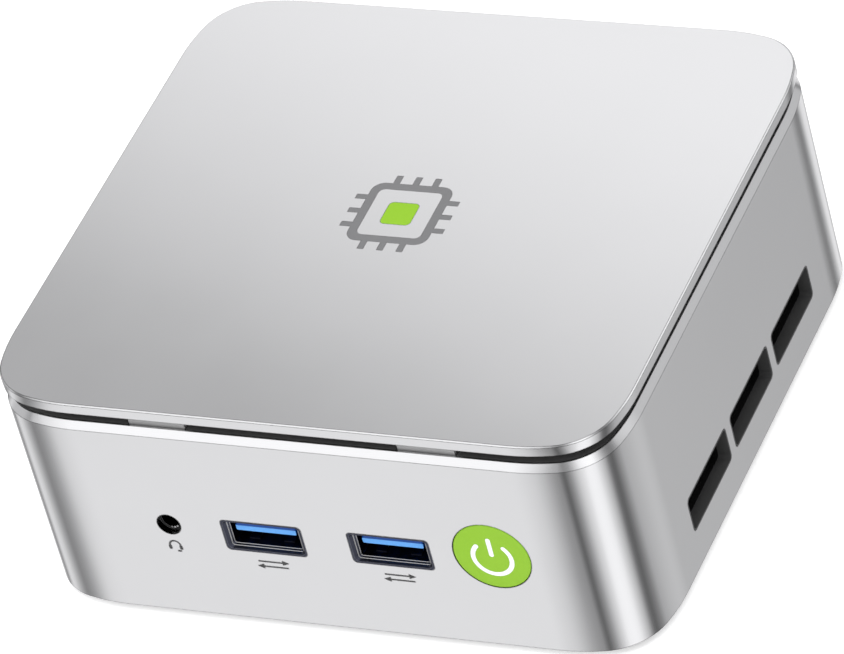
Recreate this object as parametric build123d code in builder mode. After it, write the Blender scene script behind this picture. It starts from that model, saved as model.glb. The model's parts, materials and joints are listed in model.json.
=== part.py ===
from build123d import *
import math
import os

# A palm-sized desktop computer. Millimetres, X right, Y to the back, Z up.
# The origin is on the table, under the middle of the body.

# Body
WIDTH = 114.0
DEPTH = 108.2
FRONT = -DEPTH / 2
BACK = DEPTH / 2
FOOT_HEIGHT = 1.5
WALL = 2.2
RIM_START = FOOT_HEIGHT + 39.7
RIM_TOP = FOOT_HEIGHT + 40.95
RIM_INSET = 1.03
REBATE_INSET = 1.35
REBATE_Z = RIM_TOP - 1.0
LID_BOTTOM = FOOT_HEIGHT + 43.4
LID_TOP = FOOT_HEIGHT + 45.4
LID_CHAMFER = 0.25

# Each corner is three tangent arcs: a wide one, a tight one and a wide one
CORNER_WIDE = 35.3
CORNER_TIGHT = 10.9
CORNER_TURN = 13.2

# Levels of the inner stack
COVER_TOP = FOOT_HEIGHT + 2.0
BOARD_BOTTOM = 15.0
BOARD_TOP = 16.6
FRAME_BOTTOM = 40.4
FRAME_TOP = RIM_TOP - 0.05

# Front sockets
JACK_X = -27.2
JACK_Z = FOOT_HEIGHT + 19.9
JACK_HOLE_RADIUS = 2.2
JACK_BORE_RADIUS = 1.8
USB_FRONT_X = (-9.8, 13.55)
USB_Z = FOOT_HEIGHT + 18.9
USB_MOUTH = (14.95, 6.7)
USB_MOUTH_RADIUS = 0.8
USB_LIP = 1.1
USB_DEPTH = 14.0
USB_TONGUE = (11.1, 1.84)

# Power button
BUTTON_X = 32.25
BUTTON_Z = FOOT_HEIGHT + 20.15
BUTTON_HOLE_RADIUS = 7.0
BUTTON_RADIUS = 6.88
BUTTON_FACE = FRONT
SWITCH_FRONT = -46.4

# Rear sockets, by the middle of each mouth
USB_REAR_X = -31.5
USB_REAR_PITCH = 8.2
HDMI_X = (20.0, 2.5)
HDMI_MOUTH = (15.2, 5.9)
HDMI_Z = BOARD_TOP + 3.3
LAN_X = -13.5
LAN_SIZE = (16.0, 13.4)
LAN_DEPTH = 21.0
DC_X = 34.5
DC_SIZE = (9.0, 10.6)
DC_HOLE_RADIUS = 3.2
DC_Z = BOARD_TOP + 5.4

# Vents
VENT_WIDTH = 18.9
VENT_HEIGHT = 7.05
VENT_RADIUS = 1.0
VENT_PITCH = 21.1
VENT_MIDDLE_Y = 0.3
VENT_Z = FOOT_HEIGHT + 10.3
COLLAR = 0.3
COLLAR_RADIUS = 0.8
MESH_DEPTH = 3.3
MESH_THICKNESS = 0.4
REAR_VENT = (62.0, 8.4)
REAR_VENT_Z = 9.0

# Fasteners
BOSS_X = 49.2
BOSS_Y = 46.3
BOSS_RADIUS = 4.0
SCREW_RADIUS = 1.2
SCREW_HOLE = 1.25
HEAD_RADIUS = 2.3
HEAD_HEIGHT = 1.2
STANDOFF_X = 44.0
STANDOFF_Y = 31.0
BRACKET_X = 40.0
BRACKET_HOLE_RADIUS = 1.5
INSERT_RADIUS = 2.4
FOOT_X = 40.0
FOOT_Y = 37.5
FOOT_RADIUS = 7.0
FOOT_SINK = 0.5

# Cooling
FAN_SIZE = 60.0
FAN_Y = -4.0
FAN_BOTTOM = 30.4
FAN_BORE = 28.8
FAN_SCREW = 25.0
BLOWER_Y = -5.0
BLOWER_WIDTH = 62.0
BLOWER_BOTTOM = 4.0
BLOWER_TOP = 11.0
PIPE_BOTTOM = 11.6
PIPE_TOP = 13.0
FIN_FRONT = 24.0
FIN_BACK = 50.0
SHAFT_RADIUS = 0.75
SHAFT_BORE = 0.8

FRONT_PLANE = Plane.XZ.offset(DEPTH / 2)
BACK_PLANE = Plane(origin=(0, BACK, 0), x_dir=(-1, 0, 0), z_dir=(0, 1, 0))

CORNERS = [(x, y) for x in (-1, 1) for y in (-1, 1)]
VENT_YS = [VENT_MIDDLE_Y + n * VENT_PITCH for n in (-1, 0, 1)]
USB_REAR_Z = (USB_Z, USB_Z + USB_REAR_PITCH)

pieces = {}


def keep(builder, name):
    """Label a finished piece and remember it for export."""
    builder.part.label = name
    pieces[name] = builder.part


def body_outline(inset=0.0):
    """The body's outline seen from above, drawn in the active sketch."""
    half_x = WIDTH / 2 - inset
    half_y = DEPTH / 2 - inset
    wide = CORNER_WIDE - inset
    tight = CORNER_TIGHT - inset
    turn = math.radians(CORNER_TURN)
    reach = wide * (1 + math.sin(turn) - math.cos(turn)) + tight * (math.cos(turn) - math.sin(turn))
    with BuildLine() as outline:
        for number, (sx, sy) in enumerate(((1, 1), (-1, 1), (-1, -1), (1, -1))):
            start = 90 * number
            beside = (sx * (half_x - wide), sy * (half_y - reach))
            across = (sx * (half_x - reach), sy * (half_y - wide))
            first, last = (beside, across) if sx == sy else (across, beside)
            angle = math.radians(start + CORNER_TURN)
            middle = (
                first[0] + (wide - tight) * math.cos(angle),
                first[1] + (wide - tight) * math.sin(angle),
            )
            CenterArc(first, wide, start, CORNER_TURN)
            CenterArc(middle, tight, start + CORNER_TURN, 90 - 2 * CORNER_TURN)
            CenterArc(last, wide, start + 90 - CORNER_TURN, CORNER_TURN)
        for side in (-1, 1):
            Line((side * half_x, reach - half_y), (side * half_x, half_y - reach))
            Line((reach - half_x, side * half_y), (half_x - reach, side * half_y))
    make_face(outline.edges())


def body_slab(bottom, top, inset=0.0, mode=Mode.ADD):
    """A slab with the body's outline between two heights."""
    with BuildSketch(Plane.XY.offset(bottom)) as profile:
        body_outline(inset)
    extrude(profile.sketch, amount=top - bottom, mode=mode)


def block(xs, ys, zs, mode=Mode.ADD):
    """A box between two x, two y and two z values."""
    with Locations((sum(xs) / 2, sum(ys) / 2, sum(zs) / 2)):
        Box(xs[1] - xs[0], ys[1] - ys[0], zs[1] - zs[0], mode=mode)


def post(x, y, bottom, top, radius, mode=Mode.ADD):
    """An upright cylinder."""
    with Locations((x, y, bottom)):
        Cylinder(radius, top - bottom, align=(Align.CENTER, Align.CENTER, Align.MIN), mode=mode)


def rod(x, z, start, end, radius, mode=Mode.ADD):
    """A cylinder along Y."""
    with Locations(Location((x, start, z), (-90, 0, 0))):
        Cylinder(radius, end - start, align=(Align.CENTER, Align.CENTER, Align.MIN), mode=mode)


def window(plane, place, size, radius, depth, mode=Mode.SUBTRACT):
    """A rounded rectangle pushed inwards from a face of the body."""
    with BuildSketch(plane) as profile:
        with Locations(place):
            RectangleRounded(size[0], size[1], radius)
    extrude(profile.sketch, amount=-depth, mode=mode)


def funnel(plane, place, mouth, throat, depth, mode):
    """A mouth that narrows to a throat, pushed inwards from a face."""
    with BuildSketch(plane) as near:
        with Locations(place):
            RectangleRounded(mouth[0], mouth[1], USB_MOUTH_RADIUS)
    with BuildSketch(plane.offset(-depth)) as far:
        with Locations(place):
            RectangleRounded(throat[0], throat[1], USB_MOUTH_RADIUS / 2)
    loft([near.sketch, far.sketch], ruled=True, mode=mode)


def screw(x, y, seat, length, up):
    """A pan-head screw: its head rests on seat, its shank points up or down."""
    head = (seat - HEAD_HEIGHT, seat) if up else (seat, seat + HEAD_HEIGHT)
    shank = (seat, seat + length) if up else (seat - length, seat)
    recess = (head[0], head[0] + 0.5) if up else (head[1] - 0.5, head[1])
    post(x, y, head[0], head[1], HEAD_RADIUS - 0.1)
    post(x, y, shank[0], shank[1], SCREW_RADIUS)
    for size in ((2.0, 0.5), (0.5, 2.0)):
        half_x, half_y = size[0] / 2, size[1] / 2
        block((x - half_x, x + half_x), (y - half_y, y + half_y), recess, mode=Mode.SUBTRACT)


def data_mark(x, z):
    """Two opposed arrows, drawn in the active sketch on the front plane."""
    for side in (-1, 1):
        row = z + side * 0.55
        with Locations((x - side * 0.35, row)):
            Rectangle(4.6, 0.24)
        with BuildLine() as arrow:
            tip = x + side * 3.0
            Polyline(
                (tip, row), (tip - side * 1.2, row + 0.5), (tip - side * 1.2, row - 0.5), close=True
            )
        make_face(arrow.edges())


def headset_mark(x, z):
    """Headphones with a microphone, drawn in the active sketch."""
    with Locations((x, z)):
        Circle(1.12)
        Circle(0.88, mode=Mode.SUBTRACT)
    with Locations((x, z - 1.0)):
        Rectangle(3.0, 0.9, mode=Mode.SUBTRACT)
    for side in (-1, 1):
        with Locations((x + side * 1.0, z - 0.45)):
            RectangleRounded(0.5, 0.95, 0.2)
    with Locations((x + 0.55, z - 1.25)):
        RectangleRounded(0.7, 0.3, 0.14)


def front_symbols():
    """The printed symbols below the front sockets."""
    headset_mark(JACK_X, JACK_Z - 4.7)
    for x in USB_FRONT_X:
        data_mark(x + 0.4, USB_Z - 5.9)


# Housing ---------------------------------------------------------------

with BuildPart() as housing_shell:
    body_slab(FOOT_HEIGHT, RIM_START)
    with BuildSketch(Plane.XY.offset(RIM_START)):
        body_outline()
    with BuildSketch(Plane.XY.offset(RIM_TOP)):
        body_outline(RIM_INSET)
    loft(ruled=True)
    body_slab(FOOT_HEIGHT, RIM_TOP, WALL, Mode.SUBTRACT)
    body_slab(REBATE_Z, RIM_TOP, REBATE_INSET, Mode.SUBTRACT)
    for sx, sy in CORNERS:
        post(sx * BOSS_X, sy * BOSS_Y, COVER_TOP, FRAME_BOTTOM, BOSS_RADIUS)
        post(sx * BOSS_X, sy * BOSS_Y, COVER_TOP, FRAME_BOTTOM, SCREW_HOLE, Mode.SUBTRACT)
    rod(JACK_X, JACK_Z, FRONT - 1, FRONT + WALL + 1, JACK_HOLE_RADIUS, Mode.SUBTRACT)
    rod(BUTTON_X, BUTTON_Z, FRONT - 1, FRONT + WALL + 1, BUTTON_HOLE_RADIUS, Mode.SUBTRACT)
    for usb_x in USB_FRONT_X:
        window(FRONT_PLANE, (usb_x, USB_Z), USB_MOUTH, USB_MOUTH_RADIUS, WALL + 1)
    for usb_z in USB_REAR_Z:
        window(BACK_PLANE, (-USB_REAR_X, usb_z), USB_MOUTH, USB_MOUTH_RADIUS, WALL + 1)
    for hdmi_x in HDMI_X:
        window(BACK_PLANE, (-hdmi_x, HDMI_Z), HDMI_MOUTH, 0.8, WALL + 1)
    lan_place = (-LAN_X, BOARD_TOP + LAN_SIZE[1] / 2)
    window(BACK_PLANE, lan_place, (LAN_SIZE[0] + 0.4, LAN_SIZE[1] + 0.4), 0.4, WALL + 1)
    rod(DC_X, DC_Z, BACK - WALL - 1, BACK + 1, DC_HOLE_RADIUS + 0.6, Mode.SUBTRACT)
    window(BACK_PLANE, (0, REAR_VENT_Z), REAR_VENT, VENT_RADIUS, WALL + 1)
    for side in (-1, 1):
        for vent_y in VENT_YS:
            with BuildSketch(Plane.YZ.offset(side * (WIDTH / 2 - WALL - 1))):
                with Locations((vent_y, VENT_Z)):
                    RectangleRounded(VENT_WIDTH, VENT_HEIGHT, VENT_RADIUS)
            extrude(amount=side * (WALL + 2), mode=Mode.SUBTRACT)
    with BuildSketch(FRONT_PLANE):
        front_symbols()
    extrude(amount=-0.1, mode=Mode.SUBTRACT)
keep(housing_shell, "housing_shell")

with BuildPart() as front_marks:
    with BuildSketch(FRONT_PLANE):
        front_symbols()
    extrude(amount=-0.1)
keep(front_marks, "front_marks")


def vent_insert(side):
    """A plate behind one side wall with a collar in each of its three vents."""
    inner = WIDTH / 2 - WALL
    with BuildPart() as insert:
        ys = (VENT_YS[0] - VENT_WIDTH / 2 - 2.5, VENT_YS[-1] + VENT_WIDTH / 2 + 2.5)
        zs = (VENT_Z - VENT_HEIGHT / 2 - 1.8, BOARD_BOTTOM + 1.4)
        block(sorted((side * (inner - 1.0), side * inner)), ys, zs)
        for vent_y in VENT_YS:
            with BuildSketch(Plane.YZ.offset(side * (inner - 1.0))):
                with Locations((vent_y, VENT_Z)):
                    RectangleRounded(VENT_WIDTH - 0.04, VENT_HEIGHT - 0.04, VENT_RADIUS)
            extrude(amount=side * (WALL + 1.0))
            with BuildSketch(Plane.YZ.offset(side * (inner - 1.5))):
                with Locations((vent_y, VENT_Z)):
                    RectangleRounded(
                        VENT_WIDTH - 2 * COLLAR, VENT_HEIGHT - 2 * COLLAR, COLLAR_RADIUS
                    )
            extrude(amount=side * (WALL + 2.0), mode=Mode.SUBTRACT)
    return insert


keep(vent_insert(1), "vent_insert_right")
keep(vent_insert(-1), "vent_insert_left")

with BuildPart() as vent_meshes:
    for side in (-1, 1):
        outer_x = WIDTH / 2 - MESH_DEPTH
        mesh_x = sorted((side * (outer_x - MESH_THICKNESS), side * outer_x))
        mesh_y = (VENT_YS[0] - VENT_WIDTH / 2 - 1, VENT_YS[-1] + VENT_WIDTH / 2 + 1)
        block(mesh_x, mesh_y, (VENT_Z - VENT_HEIGHT / 2 - 1, VENT_Z + VENT_HEIGHT / 2 + 0.9))
keep(vent_meshes, "vent_meshes")

with BuildPart() as rear_vent_grille:
    window(BACK_PLANE, (0, REAR_VENT_Z), (REAR_VENT[0] - 0.1, REAR_VENT[1] - 0.1), VENT_RADIUS, 3.0,
           Mode.ADD)
    slot_pitch = 3.8
    with BuildSketch(BACK_PLANE):
        with Locations((0, REAR_VENT_Z)):
            with GridLocations(slot_pitch, 1, 15, 1):
                RectangleRounded(slot_pitch - 1.2, REAR_VENT[1] - 1.8, 0.6)
    extrude(amount=-3.5, mode=Mode.SUBTRACT)
keep(rear_vent_grille, "rear_vent_grille")

# Lid --------------------------------------------------------------------

EMBLEM_SIZE = 15.0
EMBLEM_LINE = 1.5
EMBLEM_CORE = 5.6
EMBLEM_PIN = (1.1, 2.1)
EMBLEM_SINK = 0.15


def emblem_ring():
    """A chip pictogram: a rounded square ring with three pins on each side."""
    RectangleRounded(EMBLEM_SIZE, EMBLEM_SIZE, 2.2)
    inner = EMBLEM_SIZE - 2 * EMBLEM_LINE
    RectangleRounded(inner, inner, 1.2, mode=Mode.SUBTRACT)
    pin_middle = EMBLEM_SIZE / 2 + EMBLEM_PIN[1] / 2 - 0.05
    for shift in (-3.6, 0, 3.6):
        with Locations((shift, pin_middle), (shift, -pin_middle)):
            Rectangle(EMBLEM_PIN[0], EMBLEM_PIN[1])
        with Locations((pin_middle, shift), (-pin_middle, shift)):
            Rectangle(EMBLEM_PIN[1], EMBLEM_PIN[0])


with BuildPart() as lid_panel:
    body_slab(LID_BOTTOM, LID_TOP)
    chamfer(lid_panel.faces().sort_by(Axis.Z)[-1].edges(), LID_CHAMFER)
    body_slab(LID_BOTTOM, LID_TOP - 1.0, 1.2, Mode.SUBTRACT)
    with BuildSketch(Plane.XY.offset(LID_TOP)):
        emblem_ring()
    extrude(amount=-EMBLEM_SINK, mode=Mode.SUBTRACT)
    with BuildSketch(Plane.XY.offset(LID_TOP)):
        RectangleRounded(EMBLEM_CORE, EMBLEM_CORE, 0.9)
    extrude(amount=-EMBLEM_SINK, mode=Mode.SUBTRACT)
keep(lid_panel, "lid_panel")

with BuildPart() as lid_emblem:
    with BuildSketch(Plane.XY.offset(LID_TOP)):
        emblem_ring()
    extrude(amount=-EMBLEM_SINK)
keep(lid_emblem, "lid_emblem")

with BuildPart() as lid_emblem_core:
    with BuildSketch(Plane.XY.offset(LID_TOP)):
        RectangleRounded(EMBLEM_CORE, EMBLEM_CORE, 0.9)
    extrude(amount=-EMBLEM_SINK)
keep(lid_emblem_core, "lid_emblem_core")

# The lid frame carries the panel on a recessed ring, slotted for the air intake
LID_WALL_OUTER = 4.6
LID_WALL_INNER = 6.4
CLIP_X = 24.6
CLIP_WIDTH = 10.3
CLIP_FACE = 1.6
LEG_OUTER = 2.9
LEG_INNER = 4.1
TAB_BOTTOM = REBATE_Z + 0.2

with BuildPart() as lid_frame:
    body_slab(LID_BOTTOM, LID_TOP - 1.0, 1.25)
    body_slab(LID_BOTTOM, LID_TOP - 1.7, LID_WALL_INNER, Mode.SUBTRACT)
    body_slab(FRAME_TOP + 0.1, LID_BOTTOM, LID_WALL_OUTER)
    body_slab(FRAME_TOP, LID_BOTTOM, LID_WALL_INNER, Mode.SUBTRACT)
    slot_z = (FRAME_TOP + 0.6, LID_BOTTOM - 0.5)
    for n in range(-6, 7):
        for side in (-1, 1):
            wall_y = sorted((side * (BACK - LID_WALL_OUTER + 0.5), side * (BACK - LID_WALL_INNER - 0.5)))
            wall_x = sorted((side * (WIDTH / 2 - LID_WALL_OUTER + 0.5),
                             side * (WIDTH / 2 - LID_WALL_INNER - 0.5)))
            block((n * 6 - 2, n * 6 + 2), wall_y, slot_z, Mode.SUBTRACT)
            block(wall_x, (n * 6 - 2, n * 6 + 2), slot_z, Mode.SUBTRACT)
keep(lid_frame, "lid_frame")

with BuildPart() as lid_clips:
    for sx, sy in CORNERS:
        clip_x = (sx * CLIP_X - CLIP_WIDTH / 2, sx * CLIP_X + CLIP_WIDTH / 2)
        tab_y = sorted((sy * (BACK - CLIP_FACE), sy * (BACK - LEG_INNER)))
        leg_y = sorted((sy * (BACK - LEG_OUTER), sy * (BACK - LEG_INNER)))
        block(clip_x, tab_y, (TAB_BOTTOM, LID_BOTTOM))
        block(clip_x, leg_y, (FRAME_BOTTOM - 1.8, TAB_BOTTOM))
keep(lid_clips, "lid_clips")

# Top frame and its fan ---------------------------------------------------

TOP_SEAT = FRAME_TOP - HEAD_HEIGHT - 0.05


def top_screw_places(sx, sy):
    """In one quarter, the screw into the housing boss and the one into the fan."""
    return (sx * BOSS_X, sy * BOSS_Y), (sx * FAN_SCREW, FAN_Y + sy * FAN_SCREW)


with BuildPart() as top_frame:
    body_slab(FRAME_BOTTOM, REBATE_Z, WALL + 0.15)
    body_slab(REBATE_Z, FRAME_TOP, REBATE_INSET + 0.05)
    post(0, FAN_Y, FRAME_BOTTOM, FRAME_TOP, FAN_BORE - 0.3, Mode.SUBTRACT)
    with BuildSketch(Plane.XY.offset(FRAME_BOTTOM)):
        with Locations((0, FAN_Y)):
            for ring_radius in (22.0, 15.0, 8.0):
                Circle(ring_radius + 0.7)
                Circle(ring_radius - 0.7, mode=Mode.SUBTRACT)
            with PolarLocations(0, 4, start_angle=45):
                Rectangle(2 * FAN_BORE, 1.8)
    extrude(amount=1.0)
    for sx, sy in CORNERS:
        for place in top_screw_places(sx, sy):
            post(*place, FRAME_BOTTOM, FRAME_TOP, SCREW_HOLE + 0.1, Mode.SUBTRACT)
            post(*place, TOP_SEAT, FRAME_TOP, HEAD_RADIUS, Mode.SUBTRACT)
        slot_x = (sx * CLIP_X - CLIP_WIDTH / 2 - 0.3, sx * CLIP_X + CLIP_WIDTH / 2 + 0.3)
        slot_y = sorted((sy * (BACK - LEG_OUTER + 0.3), sy * (BACK - LEG_INNER - 0.3)))
        block(slot_x, slot_y, (FRAME_BOTTOM, FRAME_TOP), Mode.SUBTRACT)
        notch_y = sorted((sy * BACK, sy * (BACK - LEG_INNER - 0.3)))
        block(slot_x, notch_y, (REBATE_Z, FRAME_TOP), Mode.SUBTRACT)
keep(top_frame, "top_frame")

with BuildPart() as top_screws:
    for sx, sy in CORNERS:
        for place in top_screw_places(sx, sy):
            screw(*place, TOP_SEAT, 8.0, False)
keep(top_screws, "top_screws")

FAN_TOP = FRAME_BOTTOM
STRUT = 1.4
HUB_RADIUS = 11.0

with BuildPart() as top_fan_frame:
    with BuildSketch(Plane.XY.offset(FAN_BOTTOM)):
        with Locations((0, FAN_Y)):
            RectangleRounded(FAN_SIZE, FAN_SIZE, 3.5)
            Circle(FAN_BORE, mode=Mode.SUBTRACT)
    extrude(amount=FAN_TOP - FAN_BOTTOM)
    with BuildSketch(Plane.XY.offset(FAN_BOTTOM)):
        with Locations((0, FAN_Y)):
            Circle(HUB_RADIUS)
            with PolarLocations(0, 2, start_angle=20):
                Rectangle(2 * FAN_BORE + 1, 2.4)
            with PolarLocations(0, 2, start_angle=110):
                Rectangle(2 * FAN_BORE + 1, 2.4)
    extrude(amount=STRUT)
    for sx, sy in CORNERS:
        fan_screw_place = (sx * FAN_SCREW, FAN_Y + sy * FAN_SCREW)
        post(*fan_screw_place, FAN_BOTTOM, FAN_TOP, SCREW_HOLE, Mode.SUBTRACT)
keep(top_fan_frame, "top_fan_frame")


def motor(bottom, top, centre_y, radius):
    """A stator ring round the bearing bore."""
    with BuildPart() as stator:
        post(0, centre_y, bottom, top, radius)
        post(0, centre_y, bottom, top, SHAFT_BORE, Mode.SUBTRACT)
    return stator


def rotor(bottom, top, centre_y, hub, tip, blades, lean, cup_down):
    """A hub cup on a shaft with curved blades from the hub to the tip radius."""
    sweep_angle = math.radians(lean)
    middle_radius = (hub + tip) / 2
    with BuildSketch() as blade:
        with BuildLine():
            root = (hub - 0.5, 0)
            middle = (
                middle_radius * math.cos(sweep_angle * 0.6),
                middle_radius * math.sin(sweep_angle * 0.6),
            )
            end = (tip * math.cos(sweep_angle), tip * math.sin(sweep_angle))
            ThreePointArc(root, middle, end)
            offset(amount=0.45)
        make_face()
    with BuildPart() as wheel:
        post(0, centre_y, bottom, top, hub)
        hollow = (bottom, top - 1.0) if cup_down else (bottom + 1.0, top)
        post(0, centre_y, *hollow, hub - 1.2, Mode.SUBTRACT)
        post(0, centre_y, *hollow, SHAFT_RADIUS)
        with BuildSketch(Plane.XY.offset(bottom + 0.4)):
            with Locations((0, centre_y)):
                with PolarLocations(0, blades):
                    add(blade.sketch)
        extrude(amount=top - bottom - 0.8)
    return wheel


keep(motor(FAN_BOTTOM + STRUT, FAN_TOP - 3.2, FAN_Y, HUB_RADIUS - 2.0), "top_fan_motor")
fan_wheel = rotor(FAN_BOTTOM + STRUT + 0.6, FAN_TOP - 0.8, FAN_Y, HUB_RADIUS, FAN_BORE - 0.7, 9, 38, True)
keep(fan_wheel, "top_fan_rotor")

# Bottom cover, feet and bracket inserts -----------------------------------

with BuildPart() as bottom_cover:
    body_slab(FOOT_HEIGHT, COVER_TOP, WALL + 0.15)
    for sx, sy in CORNERS:
        cover_corner = (sx * BOSS_X, sy * BOSS_Y)
        post(*cover_corner, FOOT_HEIGHT, COVER_TOP, SCREW_HOLE + 0.1, Mode.SUBTRACT)
        post(*cover_corner, FOOT_HEIGHT, FOOT_HEIGHT + HEAD_HEIGHT, HEAD_RADIUS, Mode.SUBTRACT)
        foot_place = (sx * FOOT_X, sy * FOOT_Y)
        post(*foot_place, FOOT_HEIGHT, FOOT_HEIGHT + FOOT_SINK, FOOT_RADIUS + 0.1, Mode.SUBTRACT)
    for side in (-1, 1):
        post(side * BRACKET_X, 0, COVER_TOP, COVER_TOP + 4.0, INSERT_RADIUS + 1.6)
        post(side * BRACKET_X, 0, FOOT_HEIGHT, COVER_TOP + 4.0, INSERT_RADIUS, Mode.SUBTRACT)
    with BuildSketch(Plane.XY.offset(FOOT_HEIGHT)):
        with Locations((0, BLOWER_Y)):
            for number, slot_radius in enumerate((8.0, 12.5, 17.0, 21.5)):
                with PolarLocations(slot_radius, 12 + 8 * number):
                    SlotOverall(3.4, 1.5)
    extrude(amount=COVER_TOP - FOOT_HEIGHT, mode=Mode.SUBTRACT)
keep(bottom_cover, "bottom_cover")

with BuildPart() as bottom_cover_screws:
    for sx, sy in CORNERS:
        screw(sx * BOSS_X, sy * BOSS_Y, FOOT_HEIGHT + HEAD_HEIGHT, 8.0, True)
keep(bottom_cover_screws, "bottom_cover_screws")

with BuildPart() as rubber_feet:
    for sx, sy in CORNERS:
        with BuildSketch(Plane.XY):
            with Locations((sx * FOOT_X, sy * FOOT_Y)):
                Circle(FOOT_RADIUS)
        extrude(amount=FOOT_HEIGHT + FOOT_SINK)
    chamfer(rubber_feet.faces().filter_by(Axis.Z).group_by(Axis.Z)[0].edges(), 0.4)
keep(rubber_feet, "rubber_feet")

with BuildPart() as bracket_inserts:
    for side in (-1, 1):
        post(side * BRACKET_X, 0, FOOT_HEIGHT, COVER_TOP + 4.0, INSERT_RADIUS)
        post(side * BRACKET_X, 0, FOOT_HEIGHT, COVER_TOP + 4.0, BRACKET_HOLE_RADIUS, Mode.SUBTRACT)
keep(bracket_inserts, "bracket_inserts")

# Power button and its switch ------------------------------------------------

FLANGE_RADIUS = 7.8
FLANGE_FRONT = FRONT + WALL + 0.1
FLANGE_BACK = FLANGE_FRONT + 1.0
STEM_RADIUS = 1.7
SYMBOL_RADIUS = 3.45
SYMBOL_STROKE = 0.85
SYMBOL_SINK = 0.3


def power_sign():
    """A bar over an open ring, drawn in the active sketch on the front plane."""
    centre = (BUTTON_X, BUTTON_Z - 0.45)
    gap_angle = 45
    with BuildLine() as ring:
        CenterArc(centre, SYMBOL_RADIUS, 90 + gap_angle, 360 - 2 * gap_angle)
        offset(amount=SYMBOL_STROKE / 2)
    make_face(ring.edges())
    with Locations((BUTTON_X, BUTTON_Z + 1.95)):
        SlotOverall(4.05, SYMBOL_STROKE, rotation=90)


with BuildPart() as power_button_cap:
    rod(BUTTON_X, BUTTON_Z, BUTTON_FACE, FLANGE_BACK, BUTTON_RADIUS)
    chamfer(power_button_cap.faces().sort_by(Axis.Y)[0].edges(), 0.1)
    rod(BUTTON_X, BUTTON_Z, FLANGE_FRONT, FLANGE_BACK, FLANGE_RADIUS)
    rod(BUTTON_X, BUTTON_Z, FLANGE_BACK, SWITCH_FRONT - 1.2, STEM_RADIUS)
    with BuildSketch(Plane.XZ.offset(-BUTTON_FACE)):
        power_sign()
    extrude(amount=-SYMBOL_SINK, mode=Mode.SUBTRACT)
keep(power_button_cap, "power_button_cap")

with BuildPart() as power_symbol:
    with BuildSketch(Plane.XZ.offset(-BUTTON_FACE)):
        power_sign()
    extrude(amount=-SYMBOL_SINK)
keep(power_symbol, "power_symbol")

with BuildPart() as switch_plunger:
    rod(BUTTON_X, BUTTON_Z, SWITCH_FRONT - 1.2, SWITCH_FRONT + 1.4, STEM_RADIUS)
keep(switch_plunger, "switch_plunger")

with BuildPart() as power_switch:
    block((BUTTON_X - 3.5, BUTTON_X + 3.5), (SWITCH_FRONT, SWITCH_FRONT + 3.5), (BOARD_TOP, BUTTON_Z + 3.5))
    rod(BUTTON_X, BUTTON_Z, SWITCH_FRONT, SWITCH_FRONT + 2.3, STEM_RADIUS + 0.15, Mode.SUBTRACT)
keep(power_switch, "power_switch")

with BuildPart() as button_guide:
    guide_front = FRONT + WALL + 0.3
    guide_back = FLANGE_BACK + 1.6
    rod(BUTTON_X, BUTTON_Z, guide_front, guide_back, FLANGE_RADIUS + 1.7)
    rod(BUTTON_X, BUTTON_Z, guide_front, guide_back, 5.0, Mode.SUBTRACT)
    rod(BUTTON_X, BUTTON_Z, guide_front, guide_back - 0.7, FLANGE_RADIUS + 0.25, Mode.SUBTRACT)
keep(button_guide, "button_guide")

# Sockets --------------------------------------------------------------------

with BuildPart() as audio_jack:
    jack_front = FRONT + WALL
    block((JACK_X - 3.6, JACK_X + 3.6), (jack_front, jack_front + 12.5), (BOARD_TOP, JACK_Z + 3.4))
    rod(JACK_X, JACK_Z, jack_front, jack_front + 11.5, JACK_BORE_RADIUS, Mode.SUBTRACT)
    block((JACK_X - 0.5, JACK_X + 0.5), (jack_front + 3, jack_front + 10),
          (JACK_Z + 1.4, JACK_Z + 3.4), Mode.SUBTRACT)
keep(audio_jack, "audio_jack")

USB_CASE = (13.1, 5.7)
USB_SPACE = (12.5, 5.12)
TONGUE_GAP = 0.7
TONGUE_START = 1.45


def usb_places():
    """Every USB-A socket as its plane and its place on it, front pair first."""
    front = [(FRONT_PLANE, (x, USB_Z)) for x in USB_FRONT_X]
    rear = [(BACK_PLANE, (-USB_REAR_X, z)) for z in USB_REAR_Z]
    return front + rear


with BuildPart() as usb_shells:
    for plane, place in usb_places():
        outer_mouth = (USB_MOUTH[0] - 0.1, USB_MOUTH[1] - 0.1)
        inner_mouth = (USB_MOUTH[0] - 0.7, USB_MOUTH[1] - 0.7)
        funnel(plane, place, outer_mouth, USB_CASE, USB_LIP, Mode.ADD)
        window(plane.offset(-USB_LIP), place, USB_CASE, 0.4, USB_DEPTH - USB_LIP, Mode.ADD)
        funnel(plane, place, inner_mouth, USB_SPACE, USB_LIP, Mode.SUBTRACT)
        window(plane.offset(-USB_LIP), place, USB_SPACE, 0.3, USB_DEPTH - USB_LIP - 0.4)
keep(usb_shells, "usb_shells")

with BuildPart() as usb_tongues:
    for plane, place in usb_places():
        tongue_rise = USB_SPACE[1] / 2 - TONGUE_GAP - USB_TONGUE[1] / 2
        tongue_place = (place[0], place[1] + tongue_rise)
        tongue_length = USB_DEPTH - 0.4 - TONGUE_START
        window(plane.offset(-TONGUE_START), tongue_place, USB_TONGUE, 0.25, tongue_length, Mode.ADD)
        base_size = (USB_SPACE[0] - 0.04, USB_SPACE[1] - 0.04)
        window(plane.offset(0.4 + 2.2 - USB_DEPTH), place, base_size, 0.25, 2.2, Mode.ADD)
keep(usb_tongues, "usb_tongues")

LAN_SPACE = (11.8, 6.8)
LAN_SPACE_DEPTH = 14.0
LAN_SPACE_Z = BOARD_TOP + 6.0

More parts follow.
